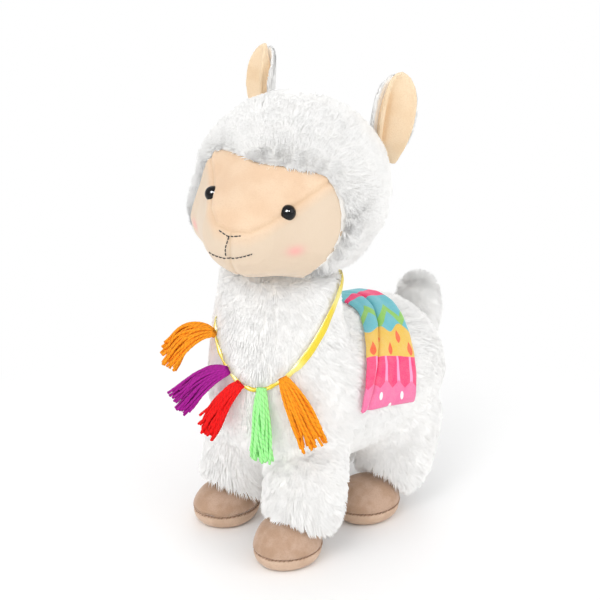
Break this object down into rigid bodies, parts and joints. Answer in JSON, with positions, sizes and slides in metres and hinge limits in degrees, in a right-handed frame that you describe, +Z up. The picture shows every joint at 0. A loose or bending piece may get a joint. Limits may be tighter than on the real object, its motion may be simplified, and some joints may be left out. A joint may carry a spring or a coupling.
{
  "type": "plush toy llama",
  "caption": "Standing stuffed toy llama with white pile, a velour face and hooves, a printed saddle blanket and a satin ribbon with yarn tassels round its neck.",
  "frame": {"origin": "on the floor under the middle of the toy's bounding box", "axes": "+Z up, -Y is the way the body faces, +X is the toy's left"},
  "size_m": [0.1231, 0.2026, 0.2832],
  "materials": {
    "white_plush": "long, soft white pile",
    "beige_velour": "short beige velour",
    "brown_velour": "short brown velour",
    "black_plastic": "shiny black",
    "washer_plastic": "plain, hidden inside the head",
    "black_thread": "embroidery thread",
    "printed_velour": "short velour printed in bands of turquoise, green, yellow, orange and pink",
    "yellow_satin": "yellow satin ribbon",
    "orange_yarn": "twisted yarn",
    "green_yarn": "twisted yarn",
    "red_yarn": "twisted yarn",
    "purple_yarn": "twisted yarn"
  },
  "bodies": {
    "root": {"body": "white_plush", "head": "white_plush", "leg_front_left": "white_plush", "leg_front_right": "white_plush", "leg_rear_left": "white_plush", "leg_rear_right": "white_plush", "tail": "white_plush", "ear_back_left": "white_plush", "ear_back_right": "white_plush", "forehead_panel": "beige_velour", "cheek_panel_left": "beige_velour", "cheek_panel_right": "beige_velour", "ear_lining_left": "beige_velour", "ear_lining_right": "beige_velour", "hoof_upper_front_left": "brown_velour", "hoof_upper_front_right": "brown_velour", "hoof_upper_rear_left": "brown_velour", "hoof_upper_rear_right": "brown_velour", "hoof_sole_front_left": "brown_velour", "hoof_sole_front_right": "brown_velour", "hoof_sole_rear_left": "brown_velour", "hoof_sole_rear_right": "brown_velour", "eye_left": "black_plastic", "eye_right": "black_plastic", "eye_washer_left": "washer_plastic", "eye_washer_right": "washer_plastic", "nose_stitching": "black_thread", "mouth_stitching": "black_thread", "saddle_blanket": "printed_velour", "neck_ribbon": "yellow_satin", "tassel_orange_left": "orange_yarn", "tassel_orange_right": "orange_yarn", "tassel_green": "green_yarn", "tassel_red": "red_yarn", "tassel_purple": "purple_yarn"}
  },
  "joints": []
}
